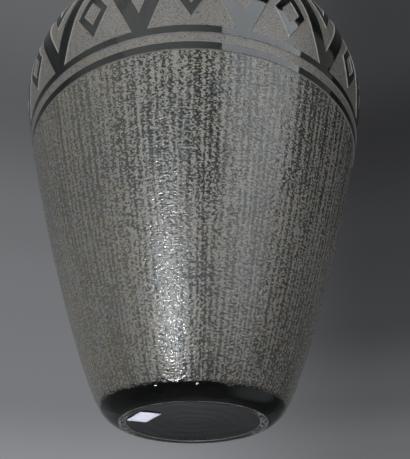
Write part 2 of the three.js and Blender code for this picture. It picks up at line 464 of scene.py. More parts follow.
@dataclass
class VaseGlass:
    """The blown glass: a flat strip of its wall, cut along the frieze's figures and then rolled up.

    Sizes are in millimetres, apart from the tolerance and the shortest edge of the rolled glass, in metres.
    Each wave of the etching's lower edge has its height, its count round the vase and its phase.
    """

    sizes: VaseSizes = field(default_factory=VaseSizes)
    spacing: RowSpacing = field(default_factory=RowSpacing)
    columns: int = 22
    edge: float = 0.6
    soft_edge: float = 2.4
    ring_line: float = 0.3
    ring_bevel: float = 0.9
    cut_reach: float = 3.5
    cut_tolerance: float = 0.01
    strip_tolerance: float = 0.002
    rolled_tolerance: float = 2e-6
    shortest_edge: float = 1e-7
    sharp_angle: float = math.radians(32)
    waves: tuple[tuple[float, int, float], ...] = (
        (0.3, 2, 0.4), (0.25, 5, 2.0), (0.15, 13, 1.1), (0.1, 29, 0.0),
    )
    waver_reach: float = 12.0
    waver_margin: float = 1.0
    drip: float = math.radians(-67)
    drip_width: float = math.radians(6)
    drip_length: float = 2.2
    name: str = "vase_glass"

    def __post_init__(self) -> None:
        """Traces the section and lays out the frieze."""
        self.section = Section(self.sizes)
        self.frieze = Frieze(self.section)
        self.raised = self.frieze.raised()
        self.cores = self.frieze.cores()
        s, at = self.sizes, self.section.length_at
        band_top, ring_top = s.etch_end + s.band, s.frieze_start - s.band
        upper = s.frieze_end + s.band
        self.foot = self.section.lengths[self.section.foot_index]
        self.frieze_zone = (at(s.frieze_start), at(s.frieze_end))
        self.etched = (
            (at(s.etch_start), at(s.etch_end), Finish.STREAKED),
            (at(band_top), at(ring_top), Finish.FROSTED),
            (*self.frieze_zone, Finish.FROSTED),
            (at(upper), at(upper + s.frost_ring), Finish.FROSTED),
        )

    def rows(self) -> list[float]:
        """Places the strip's rows: closer where the glass bends, and a pair at each etched edge.

        Returns:
            The lengths along the section, in order.
        """
        section, lengths, gap = self.section, self.section.lengths, self.spacing
        ring, lip = self.foot - self.sizes.ring_width, lengths[section.lip_index]
        # Each break is a length along the section and the spacing of the rows that follow it.
        breaks = [
            (0.0, gap.hollow),
            (ring - gap.before_ring, gap.ring_edge),
            (ring + gap.past_ring, gap.ring_face),
            (self.foot - self.ring_line, gap.ring_edge),
            (self.foot + self.ring_line, gap.heel),
            (lengths[section.rim_index], gap.lip),
            (lip, gap.mouth),
            (lip + gap.mouth_depth, gap.lining),
            (lengths[section.corner_index], gap.corner),
            (lengths[-2], gap.floor),
            (lengths[-1], gap.floor),
        ]
        for start, end, finish in self.etched:
            streaked = finish is Finish.STREAKED
            inner = start + (self.soft_edge if streaked else self.edge)
            breaks += [(start, gap.etched_edge), (inner, gap.streaked if streaked else gap.frosted)]
            breaks += [(end - self.edge, gap.etched_edge), (end, gap.polished)]
        breaks.sort()
        rows = []
        for (start, spacing), (end, _) in zip(breaks, breaks[1:]):
            count = max(1, round((end - start) / spacing))
            rows += [start + (end - start) * i / count for i in range(count)]
        return rows + [breaks[-1][0]]

    def polish(self, place: Vector) -> float:
        """Measures how far inside the polished glass a place is.

        Args:
            place: A place on the unrolled glass.

        Returns:
            The distance to the nearest etched edge, negative where the glass is etched.
        """
        for start, end, finish in self.etched:
            if start < place.y < end:
                slope = self.edge / self.soft_edge if finish is Finish.STREAKED else 1.0
                inside = -min((place.y - start) * slope, end - place.y)
                if start == self.frieze_zone[0]:
                    inside = max([inside] + [m.depth_inside(place) for m in self.raised])
                    inside = min([inside] + [-m.depth_inside(place) for m in self.cores])
                return inside
        return self.edge

    def finish_at(self, place: Vector) -> Finish:
        """Names the finish of the glass at a place on the strip.

        Args:
            place: A place on the unrolled glass.

        Returns:
            The finish there.
        """
        ring = self.foot - self.sizes.ring_width
        if place.y < ring - self.ring_bevel:
            return Finish.HOLLOW
        if place.y < self.foot + self.ring_line:
            inside = ring < place.y < self.foot - self.ring_line
            return Finish.GROUND if inside else Finish.EDGE
        if place.y > self.section.lengths[self.section.lip_index]:
            return Finish.LINING
        polish = self.polish(place)
        if polish >= 0:
            return Finish.POLISHED
        if polish > -self.edge and place.y > self.etched[0][0] + self.soft_edge:
            return Finish.EDGE
        return next(finish for start, end, finish in self.etched if start < place.y < end)

    def _flat_strip(self, bm: bmesh.types.BMesh) -> None:
        """Lays out one peak's width of the wall as a flat grid with its rows in place.

        Args:
            bm: The empty mesh.
        """
        rows = self.rows()
        bmesh.ops.create_grid(bm, x_segments=self.columns, y_segments=len(rows) - 1, size=0.5)
        for vert in bm.verts:
            vert.co.x *= 2 * self.frieze.half_width
            vert.co.y = rows[round((vert.co.y + 0.5) * (len(rows) - 1))]

    def _cut_figures(self, bm: bmesh.types.BMesh) -> None:
        """Cuts the strip along each figure's outline and along the foot of its bevelled edge.

        Args:
            bm: The flat strip.
        """
        jobs = [(m, (0.0, -self.edge)) for m in self.raised] + [(m, (0.0, self.edge)) for m in self.cores]
        for motif, offsets in jobs:
            for point, inward in motif.edges():
                for offset in offsets:
                    near = [f for f in bm.faces if self._near(f, motif)]
                    around = {part for f in near for part in (f, *f.edges, *f.verts)}
                    where = point + inward * offset
                    bmesh.ops.bisect_plane(
                        bm, geom=list(around), dist=self.cut_tolerance,
                        plane_co=where.to_3d(), plane_no=inward.to_3d(),
                    )

    def _near(self, face: bmesh.types.BMFace, motif: Motif) -> bool:
        """Says whether a face is in the frieze and close to a figure.

        Args:
            face: A face of the flat strip.
            motif: The figure.

        Returns:
            True where the figure's cuts are to reach the face.
        """
        middle = face.calc_center_bounds().to_2d()
        low, high = self.frieze_zone
        return low < middle.y < high and motif.depth_inside(middle) > -self.cut_reach

    def _etch(self, bm: bmesh.types.BMesh) -> None:
        """Sinks the etched glass, and gives each face the finish of its place.

        Args:
            bm: The cut strip.
        """
        for face in bm.faces:
            face.material_index = self.finish_at(face.calc_center_median().to_2d()).value
            face.smooth = True
        for vert in bm.verts:
            raised = min(max(self.polish(vert.co.to_2d()) / self.edge + 1, 0.0), 1.0)
            vert.co.z = -self.sizes.etch_depth * (1 - raised)

    def _repeat(self, bm: bmesh.types.BMesh) -> None:
        """Copies the strip once for each peak, side by side, and joins the copies.

        Args:
            bm: The etched strip.
        """
        first = bm.verts[:] + bm.edges[:] + bm.faces[:]
        for index in range(1, self.frieze.peaks):
            copy = bmesh.ops.duplicate(bm, geom=first)["geom"]
            verts = [g for g in copy if isinstance(g, bmesh.types.BMVert)]
            shift = Vector((2 * self.frieze.half_width * index, 0.0, 0.0))
            bmesh.ops.translate(bm, vec=shift, verts=verts)
        bmesh.ops.remove_doubles(bm, verts=bm.verts[:], dist=self.strip_tolerance)

    def waver(self, angle: float) -> float:
        """Gives how far the hand-painted lower edge of the etching strays at an angle.

        Args:
            angle: Angle round the vase, from +X towards +Y.

        Returns:
            The distance up the glass, in millimetres.
        """
        waver = sum(height * math.sin(count * angle + phase) for height, count, phase in self.waves)
        past = (angle - self.drip + math.pi) % (2 * math.pi) - math.pi
        return waver - self.drip_length * math.exp(-((past / self.drip_width) ** 2))

    def _stray(self, length: float, angle: float) -> float:
        """Gives how far a place near the etching's lower edge strays with it.

        Args:
            length: Length along the section.
            angle: Angle round the vase.

        Returns:
            The distance up the glass, which fades out towards the foot and up the body.
        """
        start, still = self.etched[0][0], self.foot + self.waver_margin
        if length > start:
            return self.waver(angle) * math.exp(-((length - start) / self.waver_reach) ** 2)
        share = min(max((length - still) / (start - still), 0.0), 1.0)
        return self.waver(angle) * share * share * (3 - 2 * share)

    def _roll(self, bm: bmesh.types.BMesh) -> None:
        """Rolls the flat strip up into the vase, in metres.

        Args:
            bm: The whole wall, still flat.
        """
        for vert in bm.verts:
            angle = vert.co.x / self.frieze.reach_radius - math.pi / 2
            point, normal = self.section.at(vert.co.y + self._stray(vert.co.y, angle))
            place = point + normal * vert.co.z
            vert.co = Vector((place.x * math.cos(angle), place.x * math.sin(angle), place.y)) * MM
        bmesh.ops.remove_doubles(bm, verts=bm.verts[:], dist=self.rolled_tolerance)
        bmesh.ops.dissolve_degenerate(bm, dist=self.shortest_edge, edges=bm.edges[:])

    def build(self, materials: dict[Finish, bpy.types.Material]) -> bpy.types.Object:
        """Builds the glass as one piece.

        Args:
            materials: The material of each finish.

        Returns:
            The finished object.
        """
        bm = bmesh.new()
        self._flat_strip(bm)
        self._cut_figures(bm)
        self._etch(bm)
        self._repeat(bm)
        self._roll(bm)
        mesh = bpy.data.meshes.new(self.name)
        for finish in Finish:
            mesh.materials.append(materials[finish])
        bm.to_mesh(mesh)
        bm.free()
        mesh.set_sharp_from_angle(angle=self.sharp_angle)
        piece = bpy.data.objects.new(self.name, mesh)
        bpy.context.scene.collection.objects.link(piece)
        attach(piece, "root")
        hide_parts("glass_vase")
        return piece


@dataclass
class PaperLabel:
    """The blank label, a thin sheet with round corners that follows the hollow, in millimetres."""

    sizes: VaseSizes = field(default_factory=VaseSizes)
    length: float = 20.0
    width: float = 14.0
    cells: tuple[int, int] = (48, 34)
    thickness: float = 0.2
    glue_gap: float = 0.3
    corner: float = 1.2
    turn: float = math.radians(121.7)
    curl: float = 0.12
    curl_power: int = 6
    sharp_angle: float = math.radians(40)
    name: str = "label_sheet"

    def _centre(self) -> Vector:
        """Finds the middle of the label's place in the frame."""
        low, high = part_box("paper_label")
        return ((low + high) / 2 / MM).to_2d()

    def _rounded(self, place: Vector) -> Vector:
        """Draws a place near a corner of the sheet in to the corner's round.

        Args:
            place: A place on the square-cornered sheet, from its middle.

        Returns:
            The same place on the rounded sheet.
        """
        inner = Vector((self.length / 2 - self.corner, self.width / 2 - self.corner))
        past = Vector((max(abs(place.x) - inner.x, 0.0), max(abs(place.y) - inner.y, 0.0)))
        if past.x == 0.0 or past.y == 0.0:
            return place
        longest = max(past.x, past.y)
        past = past.normalized() * longest
        return Vector((math.copysign(inner.x + past.x, place.x), math.copysign(inner.y + past.y, place.y)))

    def _order(self, bm: bmesh.types.BMesh) -> None:
        """Puts the faces in one order, because the extrusion leaves its side faces in a new one at each run.

        Args:
            bm: The sheet.
        """
        bm.verts.index_update()
        ordered = sorted(bm.faces, key=lambda face: sorted(vert.index for vert in face.verts))
        for index, face in enumerate(ordered):
            face.index = index
        bm.faces.sort()

    def build(self, material: bpy.types.Material) -> bpy.types.Object:
        """Builds the label as one piece.

        Args:
            material: The paper.

        Returns:
            The finished object.
        """
        bm = bmesh.new()
        bmesh.ops.create_grid(bm, x_segments=self.cells[0], y_segments=self.cells[1], size=0.5)
        for vert in bm.verts:
            flat = Vector((vert.co.x * self.length, vert.co.y * self.width))
            vert.co = self._rounded(flat).to_3d()
        lifted = bmesh.ops.extrude_face_region(bm, geom=bm.faces[:])["geom"]
        top = [g for g in lifted if isinstance(g, bmesh.types.BMVert)]
        bmesh.ops.translate(bm, vec=Vector((0.0, 0.0, self.thickness)), verts=top)
        self._order(bm)
        bmesh.ops.recalc_face_normals(bm, faces=bm.faces[:])
        centre = self._centre()
        for vert in bm.verts:
            drop = self.curl * (abs(vert.co.x) / self.length * 2) ** self.curl_power
            place = (Matrix.Rotation(self.turn, 2) @ vert.co.to_2d()) + centre
            under = self.sizes.hollow_height(place.length) - self.glue_gap - self.thickness
            vert.co = Vector((place.x, place.y, under - drop + vert.co.z)) * MM
        mesh = bpy.data.meshes.new(self.name)
        mesh.materials.append(material)
        for face in bm.faces:
            face.smooth = True
        bm.to_mesh(mesh)
        bm.free()
        mesh.set_sharp_from_angle(angle=self.sharp_angle)
        piece = bpy.data.objects.new(self.name, mesh)
        bpy.context.scene.collection.objects.link(piece)
        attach(piece, "root")
        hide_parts("paper_label")
        return piece


class Bench:
    """Places and links the nodes of one shader tree."""

    def __init__(self, tree: bpy.types.NodeTree) -> None:
        """Takes the tree to work on.

        Args:
            tree: A material's, a world's or a group's node tree.
        """
        self.tree = tree

    def feed(self, socket: Socket, value: object) -> None:
        """Links a socket to another, or sets its value.

        Args:
            socket: The input to feed.
            value: An output socket, a number or a colour.
        """
        if isinstance(value, Socket):
            self.tree.links.new(value, socket)
        elif isinstance(value, tuple) and socket.type == "RGBA" and len(value) == 3:
            socket.default_value = (*value, 1.0)
        else:
            socket.default_value = value

    def add(self, kind: str, inputs: dict[str | int, object] | None = None, **settings: object) -> Node:
        """Adds a node.

        Args:
            kind: The node's type.
            inputs: What feeds each of its inputs.
            settings: Its other settings.

        Returns:
            The node.
        """
        node = self.tree.nodes.new(kind)
        for name, value in settings.items():
            setattr(node, name, value)
        for name, value in (inputs or {}).items():
            self.feed(node.inputs[name], value)
        return node

    def maths(self, operation: str, a: object, b: object = 0.0) -> Socket:
        """Adds a calculation with one or two values and gives its output."""
        return self.add("ShaderNodeMath", {0: a, 1: b}, operation=operation).outputs[0]

    def vector(self, operation: str, a: object, b: object, output: str = "Vector") -> Socket:
        """Adds a calculation with two vectors and gives one of its outputs."""
        return self.add("ShaderNodeVectorMath", {0: a, 1: b}, operation=operation).outputs[output]

    def step(self, value: object, low: object, high: object) -> Socket:
        """Adds a smooth step from 0 at low to 1 at high and gives its output."""
        inputs = {"Value": value, "From Min": low, "From Max": high}
        return self.add("ShaderNodeMapRange", inputs, interpolation_type="SMOOTHSTEP").outputs["Result"]

    def noise(self, vector: object, scale: object, detail: float = 2.0, **more: float) -> Socket:
        """Adds a noise texture and gives its value."""
        inputs = {"Vector": vector, "Scale": scale, "Detail": detail, **more}
        return self.add("ShaderNodeTexNoise", inputs).outputs[0]

    def swing(self, noise: object, reach: float) -> Socket:
        """Makes a noise swing about 0 over a given reach and gives its output."""
        return self.maths("MULTIPLY", self.maths("SUBTRACT", noise, 0.5), reach)

    def mix(self, share: object, a: object, b: object, blend: str = "MIX") -> Socket:
        """Adds a mix of two colours.

        Args:
            share: How much of the second colour goes in.
            a: The first colour.
            b: The second colour.
            blend: The way in which they mix.

        Returns:
            The mixed colour.
        """
        # The node has sockets for other kinds too: inputs 6 and 7 are its colours, and output 2 is their mix.
        node = self.add("ShaderNodeMix", data_type="RGBA", blend_type=blend)
        for socket, value in ((node.inputs[0], share), (node.inputs[6], a), (node.inputs[7], b)):
            self.feed(socket, value)
        return node.outputs[2]


def new_group(
    name: str, inputs: tuple[str, ...], outputs: tuple[str, ...],
) -> tuple[Bench, dict[str, Socket], Node]:
    """Starts a shader node group that reads a place and plain values.

    Args:
        name: The group's name.
        inputs: The names of its plain inputs, besides the place.
        outputs: The names of its outputs, all plain values.

    Returns:
        A bench for its tree, its input sockets by name and its output node.
    """
    tree = bpy.data.node_groups.new(name, "ShaderNodeTree")
    tree.interface.new_socket(name="Place", in_out="INPUT", socket_type="NodeSocketVector")
    for way, labels in (("INPUT", inputs), ("OUTPUT", outputs)):
        for label in labels:
            tree.interface.new_socket(name=label, in_out=way, socket_type="NodeSocketFloat")
    bench = Bench(tree)
    source = bench.add("NodeGroupInput")
    return bench, {label: source.outputs[label] for label in ("Place", *inputs)}, bench.add("NodeGroupOutput")


@dataclass(frozen=True)
class AcidPattern:
    """The pattern that acid leaves: worm-like pits, gathered in columns that run up the glass.

    Lengths are in metres. The scales of the wander, the zones and the patches are in features per metre,
    those of the columns and threads are multiples of the group's Columns, and those of the glitter and dents
    of its Grain. A range is where a smooth step starts and where it ends.
    """

    even_radius: float = 0.12
    least_radius: float = 0.001
    stretch: float = 0.08
    worm_squeeze: float = 1.4
    dent_squeeze: float = 2.3
    wander_scale: float = 60.0
    wander: float = 14.0
    comb_pull: float = 0.15
    column_scale: float = 1.5
    column_roughness: float = 0.6
    column_pull: float = 0.7
    thread_scale: float = 4.2
    thread_pull: float = 0.3
    zone_scale: float = 34.0
    zone_pull: float = 0.35
    patch_scale: float = 13.0
    patch_pull: float = 0.25
    worm_detail: float = 0.6
    worm_twist: float = 0.5
    foot_range: tuple[float, float] = (0.03, 0.16)
    calm_angle: float = math.radians(-156)
    calm_range: tuple[float, float] = (0.5, 0.97)
    calm_level: float = 0.45
    patch_stray: float = 0.006
    worm_stray: float = 0.009
    border_width: float = 0.0012
    glitter_scale: float = 2.1
    dent_scale: float = 0.55
    dent_height: float = 1.5
    pit_height: float = 0.12

    def _tall(self, bench: Bench, x: object, y: object, z: object) -> Socket:
        """Gives a place whose features are as wide at every radius and stretch up the glass.

        Args:
            bench: The group's bench.
            x: The place's first coordinate.
            y: Its second coordinate.
            z: Its height.

        Returns:
            The stretched place.
        """
        square = bench.maths("ADD", bench.maths("MULTIPLY", x, x), bench.maths("MULTIPLY", y, y))
        radius = bench.maths("MAXIMUM", bench.maths("SQRT", square), self.least_radius)
        even = bench.maths("DIVIDE", self.even_radius, radius)
        pairs = enumerate(((x, even), (y, even), (z, self.stretch)))
        scaled = {index: bench.maths("MULTIPLY", *pair) for index, pair in pairs}
        return bench.add("ShaderNodeCombineXYZ", scaled).outputs[0]

    def _pull(self, bench: Bench, tall: object, angle: object, columns: object, patches: object) -> Socket:
        """Builds what draws the pits together: wandering columns, threads, broad zones and patches.

        Args:
            bench: The group's bench.
            tall: The stretched place.
            angle: The angle round the vase.
            columns: How many columns there are to a radian.
            patches: The noise of the patches.

        Returns:
            The pull, which swings about 0.
        """
        wander = bench.swing(bench.noise(tall, self.wander_scale, detail=1.0), self.wander)
        combed = bench.maths("SINE", bench.maths("ADD", bench.maths("MULTIPLY", angle, columns), wander))
        pull = bench.maths("MULTIPLY", combed, self.comb_pull)
        column, thread = (bench.maths("MULTIPLY", columns, s) for s in (self.column_scale, self.thread_scale))
        wide = bench.noise(tall, column, detail=1.0, Roughness=self.column_roughness)
        fine = bench.noise(tall, thread, detail=1.0)
        zones = bench.noise(tall, self.zone_scale, detail=1.0)
        strays = (
            (wide, self.column_pull),
            (fine, self.thread_pull),
            (zones, self.zone_pull),
            (patches, self.patch_pull),
        )
        for noise, reach in strays:
            pull = bench.maths("ADD", pull, bench.swing(noise, reach))
        return pull

    def _calmed(self, bench: Bench, pits: object, strength: object, angle: object, calm: object) -> Socket:
        """Evens the pits out on the calmer side of the vase.

        Args:
            bench: The group's bench.
            pits: The pits' mask.
            strength: How strong the pits are at this height.
            angle: The angle round the vase.
            calm: How even the pits are in the middle of that side, from 0 to 1.

        Returns:
            The new mask.
        """
        side = bench.maths("COSINE", bench.maths("SUBTRACT", angle, self.calm_angle))
        share = bench.maths("MULTIPLY", bench.step(side, *self.calm_range), calm)
        lacking = bench.maths("SUBTRACT", bench.maths("MULTIPLY", strength, self.calm_level), pits)
        return bench.maths("ADD", pits, bench.maths("MULTIPLY", lacking, share))

    def build(self) -> bpy.types.NodeTree:
        """Builds the pattern's node group.

        Returns:
            A group that puts out the pits' mask, the glitter of the frosted grains and the height.
        """
        inputs = ("Grain", "Columns", "Gathering", "Calm", "Amount", "Softness", "Foot", "Border")
        bench, given, out = new_group("etching", inputs, ("Pits", "Glitter", "Height"))
        place, grain = given["Place"], given["Grain"]
        x, y, z = bench.add("ShaderNodeSeparateXYZ", {0: place}).outputs
        angle = bench.maths("ARCTAN2", y, x)
        squat = bench.vector("MULTIPLY", place, (1.0, 1.0, self.worm_squeeze))
        flat = bench.vector("MULTIPLY", place, (1.0, 1.0, self.dent_squeeze))
        patches = bench.noise(place, self.patch_scale)
        worms = bench.noise(squat, grain, self.worm_detail, Distortion=self.worm_twist)
        pull = self._pull(bench, self._tall(bench, x, y, z), angle, given["Columns"], patches)
        lift = bench.maths("ADD", bench.maths("MULTIPLY", pull, given["Gathering"]), worms)
        middle = bench.maths("SUBTRACT", 1.0, given["Amount"])
        low, high = (bench.maths(way, middle, given["Softness"]) for way in ("SUBTRACT", "ADD"))
        rest = bench.maths("SUBTRACT", 1.0, given["Foot"])
        strength = bench.maths(
            "ADD", bench.maths("MULTIPLY", bench.step(z, *self.foot_range), rest), given["Foot"],
        )
        pits = bench.maths("MULTIPLY", bench.step(lift, low, high), strength)
        pits = self._calmed(bench, pits, strength, angle, given["Calm"])
        ragged = z
        for noise, reach in ((patches, self.patch_stray), (worms, self.worm_stray)):
            ragged = bench.maths("ADD", ragged, bench.swing(noise, reach))
        border = bench.step(ragged, bench.maths("ADD", given["Border"], self.border_width), given["Border"])
        pits = bench.maths("MAXIMUM", pits, border)
        glitter = bench.noise(place, bench.maths("MULTIPLY", grain, self.glitter_scale), detail=1.0)
        dents = bench.noise(flat, bench.maths("MULTIPLY", grain, self.dent_scale), detail=1.0)
        relief = bench.maths("MULTIPLY", dents, self.dent_height)
        height = bench.maths("SUBTRACT", relief, bench.maths("MULTIPLY", pits, self.pit_height))
        for name, value in (("Pits", pits), ("Glitter", glitter), ("Height", height)):
            bench.feed(out.inputs[name], value)
        return bench.tree


@dataclass(frozen=True)
class HandlingMarks:
    """What years of handling leave on glass: faint wiped smears and a slow unevenness."""

    smear_scale: float = 28.0
    smear_detail: float = 4.0
    smear_roughness: float = 0.65
    smear_twist: float = 0.8
    smear_range: tuple[float, float] = (0.42, 0.78)
    swell_scale: float = 22.0

    def build(self) -> bpy.types.NodeTree:
        """Builds the marks' node group.

        Returns:
            A group that puts out the smears' mask and the unevenness.
        """
        bench, given, out = new_group("handling", (), ("Smears", "Unevenness"))
        smears = bench.noise(
            given["Place"], self.smear_scale, self.smear_detail, Roughness=self.smear_roughness,
            Distortion=self.smear_twist,
        )
        bench.feed(out.inputs["Smears"], bench.step(smears, *self.smear_range))
        bench.feed(out.inputs["Unevenness"], bench.noise(given["Place"], self.swell_scale, detail=1.0))
        return bench.tree


def new_material(name: str) -> tuple[bpy.types.Material, Bench, Node, Socket]:
    """Starts a material with one Principled shader.

    Args:
        name: The material's name.

    Returns:
        The material, a bench for its tree, the shader and the piece's own coordinates.
    """
    material = bpy.data.materials.new(name)
    material.use_nodes = True
    material.node_tree.nodes.clear()
    bench = Bench(material.node_tree)
    shader = bench.add("ShaderNodeBsdfPrincipled")
    bench.add("ShaderNodeOutputMaterial", {"Surface": shader.outputs["BSDF"]})
    return material, bench, shader, bench.add("ShaderNodeTexCoord").outputs["Object"]


@dataclass(frozen=True)
class PolishedGlass:
    """Smoked glass with its fire polish or a cut polish."""

    name: str
    tint: Colour = (0.09, 0.1, 0.093)
    thin_tint: Colour = (0.22, 0.235, 0.225)
    thinning: tuple[float, float] = (0.015, 0.09)
    roughness: float = 0.03
    smear_roughness: float = 0.12
    unevenness: float = 0.0006
    ripples: float = 0.0
    ripple_scale: float = 620.0
    ripple_stray: float = 0.03
    stray_scale: float = 26.0

    def _rippled(self, bench: Bench, place: object, height: object) -> Socket:
        """Adds the fine rings of a turned polish to a height.

        Args:
            bench: The material's bench.
            place: The piece's own coordinates.
            height: The height so far.

        Returns:
            The height with the rings.
        """
        flat = bench.vector("MULTIPLY", place, (1.0, 1.0, 0.0))
        radius = bench.vector("LENGTH", flat, (0.0, 0.0, 0.0), "Value")
        strays = bench.maths("MULTIPLY", bench.noise(place, self.stray_scale), self.ripple_stray)
        turns = bench.maths("MULTIPLY", bench.maths("ADD", radius, strays), self.ripple_scale)
        return bench.maths("ADD", height, bench.maths("MULTIPLY", bench.maths("SINE", turns), self.ripples))

    def build(self, handling: bpy.types.NodeTree) -> bpy.types.Material:
        """Builds the material.

        Args:
            handling: The group of handling marks.

        Returns:
            The material.
        """
        material, bench, shader, place = new_material(self.name)
        marks = bench.add("ShaderNodeGroup", {}, node_tree=handling)
        bench.feed(marks.inputs["Place"], place)
        up = bench.add("ShaderNodeSeparateXYZ", {0: place}).outputs[2]
        tint = bench.mix(bench.step(up, *self.thinning), self.tint, self.thin_tint)
        bench.feed(shader.inputs["Base Color"], tint)
        rough = bench.maths("MULTIPLY", marks.outputs["Smears"], self.smear_roughness)
        bench.feed(shader.inputs["Roughness"], bench.maths("ADD", rough, self.roughness))
        shader.inputs["Transmission Weight"].default_value = 1.0
        shader.inputs["IOR"].default_value = GLASS_IOR
        height = marks.outputs["Unevenness"]
        if self.ripples:
            height = self._rippled(bench, place, height)
        bump = bench.add("ShaderNodeBump", {"Height": height, "Distance": self.unevenness, "Strength": 1.0})
        bench.feed(shader.inputs["Normal"], bump.outputs[0])
        return material


@dataclass(frozen=True)
class EtchedGlass:
    """Glass that acid has left matt, with darker pits where the glass still shows.

    The foot is the strength of the pits near the vase's foot. The glass stays dark up to the border's height,
    in metres, and a height under the foot leaves no border. With painted side light the face is dark in front
    and behind and stays pale frost at its two sides, a painted highlight where light catches the ring's ends.
    """

    name: str
    frost: Colour = (0.27, 0.257, 0.228)
    pit: Colour = (0.015, 0.016, 0.015)
    roughness: float = 0.4
    pit_roughness: float = 0.09
    see_through: float = 0.2
    grain: float = 650.0
    columns: float = 150.0
    gathering: float = 0.52
    calm: float = 0.0
    amount: float = 0.5
    softness: float = 0.09
    foot: float = 1.0
    border: float = -1.0
    relief: float = 0.0003
    sparkle: float = 0.3
    sparkle_range: tuple[float, float] = (0.3, 0.7)
    painted_light_sides: bool = False
    painted_light_sides_range: tuple[float, float] = (0.0415, 0.037)
    warm_stain: Colour = (1.045, 1.0, 0.95)
    cool_stain: Colour = (0.955, 1.0, 1.05)
    stain_scale: float = 70.0
    stain_range: tuple[float, float] = (0.3, 0.7)

    def _frost(self, bench: Bench, place: object, glitter: object) -> Socket:
        """Builds the colour of the frosted glass between the pits.

        Args:
            bench: The material's bench.
            place: The piece's own coordinates.
            glitter: The glitter of the grains.

        Returns:
            The colour, with its sparkle and its stains.
        """
        pale, dull = (tuple(c * (1 + way * self.sparkle) for c in self.frost) for way in (1, -1))
        frost = bench.mix(bench.step(glitter, *self.sparkle_range), dull, pale)
        stained = bench.step(bench.noise(place, self.stain_scale), *self.stain_range)
        return bench.mix(1.0, frost, bench.mix(stained, self.cool_stain, self.warm_stain), "MULTIPLY")

    def build(self, etching: bpy.types.NodeTree) -> bpy.types.Material:
        """Builds the material.

        Args:
            etching: The group of the acid's pattern.

        Returns:
            The material.
        """
        material, bench, shader, place = new_material(self.name)
        pattern = bench.add("ShaderNodeGroup", {}, node_tree=etching)
        values = {
            "Place": place, "Grain": self.grain, "Columns": self.columns, "Gathering": self.gathering,
            "Calm": self.calm, "Amount": self.amount, "Softness": self.softness, "Foot": self.foot,
            "Border": self.border,
        }
        for name, value in values.items():
            bench.feed(pattern.inputs[name], value)
        pits = pattern.outputs["Pits"]
        # Painted light: the face turns dark in front and behind and stays pale frost at its two sides,
        # standing in for light caught at the ring's ends.
        if self.painted_light_sides:
            across = bench.maths("ABSOLUTE", bench.add("ShaderNodeSeparateXYZ", {0: place}).outputs[0])
            pits = bench.maths("MAXIMUM", pits, bench.step(across, *self.painted_light_sides_range))
        frost = self._frost(bench, place, pattern.outputs["Glitter"])
        bench.feed(shader.inputs["Base Color"], bench.mix(pits, frost, self.pit))
        rough = bench.maths("MULTIPLY", pits, self.pit_roughness - self.roughness)
        bench.feed(shader.inputs["Roughness"], bench.maths("ADD", rough, self.roughness))
        shader.inputs["Transmission Weight"].default_value = self.see_through
        shader.inputs["IOR"].default_value = GLASS_IOR
        relief = {"Height": pattern.outputs["Height"], "Distance": self.relief, "Strength": 1.0}
        bench.feed(shader.inputs["Normal"], bench.add("ShaderNodeBump", relief).outputs[0])
        return material


@dataclass(frozen=True)
class Paper:
    """Plain white paper with a faint tooth."""

    name: str = "plain_paper"
    white: Colour = (0.86, 0.862, 0.915)
    shade: Colour = (0.715, 0.718, 0.77)
    fibre_scale: float = 2600.0
    fibre_detail: float = 3.0
    fibre_roughness: float = 0.7
    fibre_share: float = 0.2
    stain_scale: float = 260.0
    stain_range: tuple[float, float] = (0.35, 0.8)
    roughness: float = 0.7
    relief: float = 0.00003

    def build(self) -> bpy.types.Material:
        """Builds the material.

        Returns:
            The material.
        """
        material, bench, shader, place = new_material(self.name)
        fibres = bench.noise(place, self.fibre_scale, self.fibre_detail, Roughness=self.fibre_roughness)
        stained = bench.step(bench.noise(place, self.stain_scale), *self.stain_range)
        faint = bench.maths("MULTIPLY", fibres, self.fibre_share)
        tone = bench.mix(stained, self.white, self.shade)
        bench.feed(shader.inputs["Base Color"], bench.mix(faint, tone, self.shade))
        bench.feed(shader.inputs["Roughness"], bench.maths("ADD", faint, self.roughness))
        bump = bench.add("ShaderNodeBump", {"Height": fibres, "Distance": self.relief, "Strength": 1.0})
        bench.feed(shader.inputs["Normal"], bump.outputs[0])
        return material


@dataclass(frozen=True)
class SoftLamp:
    """A soft rectangular lamp aimed at the vase, in degrees and metres.

    The azimuth is from the front towards the right, and the aim is the height that the lamp faces.
    """

    name: str
    azimuth: float
    elevation: float
    distance: float
    size: tuple[float, float]
    radiance: float
    colour: Colour = (1.0, 1.0, 1.0)
    aim: float = 0.15
    mirrored: bool = True
    diffuse: bool = True

    def build(self) -> None:
        """Builds the lamp."""
        turn, lift = math.radians(self.azimuth), math.radians(self.elevation)
        out = Vector((math.sin(turn) * math.cos(lift), -math.cos(turn) * math.cos(lift), math.sin(lift)))
        data = bpy.data.lights.new(self.name, "AREA")
        data.shape = "RECTANGLE"
        data.size, data.size_y = self.size
        data.color = self.colour
        data.energy = WATTS_PER_RADIANCE * self.radiance * self.size[0] * self.size[1]
        lamp = bpy.data.objects.new(self.name, data)
        lamp.location = Vector((0.0, 0.0, self.aim)) + out * self.distance
        lamp.rotation_euler = out.to_track_quat("Z", "Y").to_euler()
        lamp.visible_camera = False
        lamp.visible_transmission = False
        lamp.visible_glossy = self.mirrored
        lamp.visible_diffuse = self.diffuse
        bpy.context.scene.collection.objects.link(lamp)


